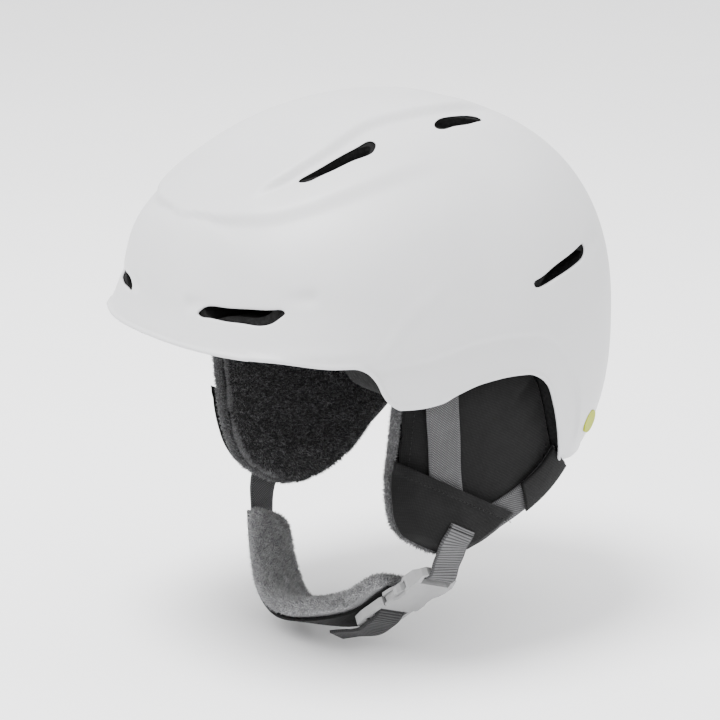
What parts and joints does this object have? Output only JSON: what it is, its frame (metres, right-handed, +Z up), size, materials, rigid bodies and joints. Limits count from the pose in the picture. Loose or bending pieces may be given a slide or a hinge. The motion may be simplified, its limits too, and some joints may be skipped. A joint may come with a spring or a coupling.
{
  "type": "ski helmet",
  "caption": "Hard-shell snow helmet with a short peak, foam liner, soft ear pads, dial-fit cradle, side-release chin buckle and a goggle strap clip.",
  "frame": {"origin": "centre of the head form, where the head sits", "axes": "+Z up, the face looks along -Y, +X to the wearer's left"},
  "size_m": [0.2242, 0.2815, 0.2941],
  "materials": {
    "shell_white": "matte",
    "foam_grey": "rough",
    "liner_plastic": "satin",
    "anchor_rubber": "matte",
    "comfort_fabric": "soft",
    "fit_plastic": "satin",
    "dial_plastic": "satin",
    "buckle_plastic": "satin",
    "ear_fabric": "matte",
    "ear_fleece": "fleece",
    "webbing_grey": "woven",
    "webbing_dark": "woven",
    "chin_fleece": "fleece",
    "clip_plastic": "satin",
    "pin_steel": "brushed",
    "badge_yellow": "satin"
  },
  "bodies": {
    "shell": {"outer_shell": "shell_white", "foam_liner": "foam_grey", "liner_anchors": "anchor_rubber", "ear_pad_cover_left": "ear_fabric", "ear_pad_cover_right": "ear_fabric", "ear_pad_lining_left": "ear_fleece", "ear_pad_lining_right": "ear_fleece", "ear_pad_snaps": "fit_plastic", "front_strap_left": "webbing_grey", "front_strap_right": "webbing_grey", "rear_strap_left": "webbing_grey", "rear_strap_right": "webbing_grey", "rear_strap_sleeve_left": "ear_fabric", "rear_strap_sleeve_right": "ear_fabric", "strap_anchors": "fit_plastic", "ear_pad_flap_left": "ear_fabric", "ear_pad_flap_right": "ear_fabric", "chin_web_left": "webbing_grey", "chin_web_right": "webbing_grey", "buckle_socket": "buckle_plastic", "goggle_clip_base": "clip_plastic", "goggle_clip_pin": "pin_steel", "goggle_clip_rivets": "pin_steel", "round_badge": "badge_yellow"},
    "slip_liner": {"slip_liner": "liner_plastic", "brow_pad": "comfort_fabric", "rear_pad": "comfort_fabric", "side_pad_left": "comfort_fabric", "side_pad_right": "comfort_fabric", "crown_pad": "comfort_fabric", "height_rail": "fit_plastic"},
    "cradle": {"cradle_frame": "fit_plastic", "dial_cover": "fit_plastic", "cradle_pad": "comfort_fabric"},
    "fit_dial": {"fit_dial": "dial_plastic"},
    "band_left": {"band_left": "fit_plastic"},
    "band_right": {"band_right": "fit_plastic"},
    "chin_strap": {"buckle_plug": "buckle_plastic", "chin_pad_fleece": "chin_fleece", "chin_pad_backing": "ear_fabric", "chin_web": "webbing_dark", "strap_tail": "webbing_dark"},
    "release_arm_rear": {"release_arm_rear": "buckle_plastic"},
    "release_arm_front": {"release_arm_front": "buckle_plastic"},
    "goggle_clip": {"goggle_clip_flap": "clip_plastic"}
  },
  "joints": [
    {"name": "slip_rotation", "type": "hinge", "parent": "shell", "child": "slip_liner", "pos_m": [0, 0.003, 0], "axis": [0, 0, 1], "range_deg": [-2, 2], "stiffness_Nm_per_rad": 4},
    {"name": "cradle_height", "type": "slide", "parent": "slip_liner", "child": "cradle", "axis": [0, 0, 1], "range_m": [-0.006, 0.006]},
    {"name": "dial_turn", "type": "hinge", "parent": "cradle", "child": "fit_dial", "pos_m": [0, 0.1, -0.092], "axis": [0, 1, 0], "range_deg": [-110, 110]},
    {"name": "band_left_slide", "type": "hinge", "parent": "cradle", "child": "band_left", "pos_m": [0, 0.015, -0.092], "axis": [0, 0, 1], "range_deg": [-6.9, 6.9]},
    {"name": "band_right_slide", "type": "hinge", "parent": "cradle", "child": "band_right", "pos_m": [0, 0.015, -0.092], "axis": [0, 0, 1], "range_deg": [-6.9, 6.9]},
    {"name": "buckle_slide", "type": "slide", "parent": "shell", "child": "chin_strap", "axis": [-0.7061, -0.309, -0.6371], "range_m": [0, 0.024], "deforming": ["chin_web_right"]},
    {"name": "release_squeeze_rear", "type": "hinge", "parent": "chin_strap", "child": "release_arm_rear", "pos_m": [0.05687, -0.00492, -0.14476], "axis": [0.7004, -0.1723, -0.6927], "range_deg": [0, 7], "stiffness_Nm_per_rad": 0.05},
    {"name": "release_squeeze_front", "type": "hinge", "parent": "chin_strap", "child": "release_arm_front", "pos_m": [0.05874, -0.02176, -0.13868], "axis": [0.7004, -0.1723, -0.6927], "range_deg": [-7, 0], "stiffness_Nm_per_rad": 0.05},
    {"name": "goggle_clip_open", "type": "hinge", "parent": "shell", "child": "goggle_clip", "pos_m": [0, 0.1465, 0.027], "axis": [1, 0, 0], "range_deg": [0, 100]}
  ],
  "couplings": [
    {"joint": "band_left_slide", "follows": "dial_turn", "ratio": -0.0625},
    {"joint": "band_right_slide", "follows": "dial_turn", "ratio": 0.0625},
    {"joint": "release_squeeze_front", "follows": "release_squeeze_rear", "ratio": -1}
  ]
}
